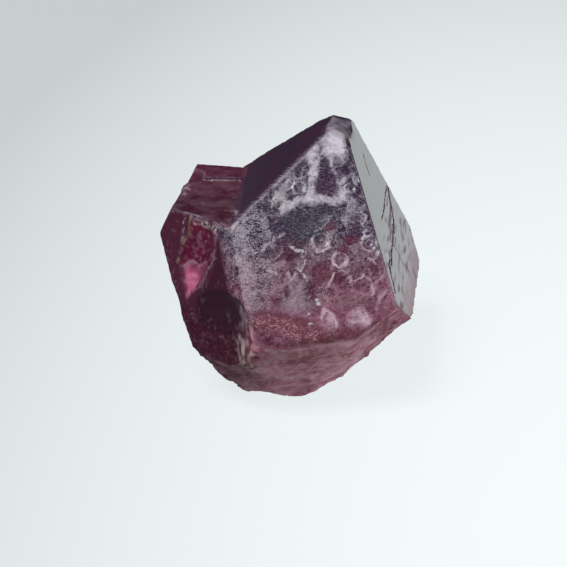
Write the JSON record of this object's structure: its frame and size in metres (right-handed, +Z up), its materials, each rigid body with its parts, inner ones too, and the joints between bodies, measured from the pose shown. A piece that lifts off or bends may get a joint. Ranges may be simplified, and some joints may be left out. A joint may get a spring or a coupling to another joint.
{
  "type": "spinel crystal",
  "caption": "Purple-red octahedral crystal with a frosted front face, a smooth right face, a stepped broken left side and a rough rounded base that it rests on.",
  "frame": {"origin": "middle of the bounding box, on the level of the flat that the crystal rests on", "axes": "+Z up through the crystal's tip side; the frosted front face looks along -Y and up; the smooth right face looks along +X"},
  "size_m": [0.0148, 0.0164, 0.0147],
  "materials": {
    "crystal": "dark purple-red translucent spinel: frosted and etched front, glossy growth faces, glassy conchoidal breaks, rough pinkish base"
  },
  "bodies": {
    "root": {"spinel_crystal": "crystal"}
  },
  "joints": []
}
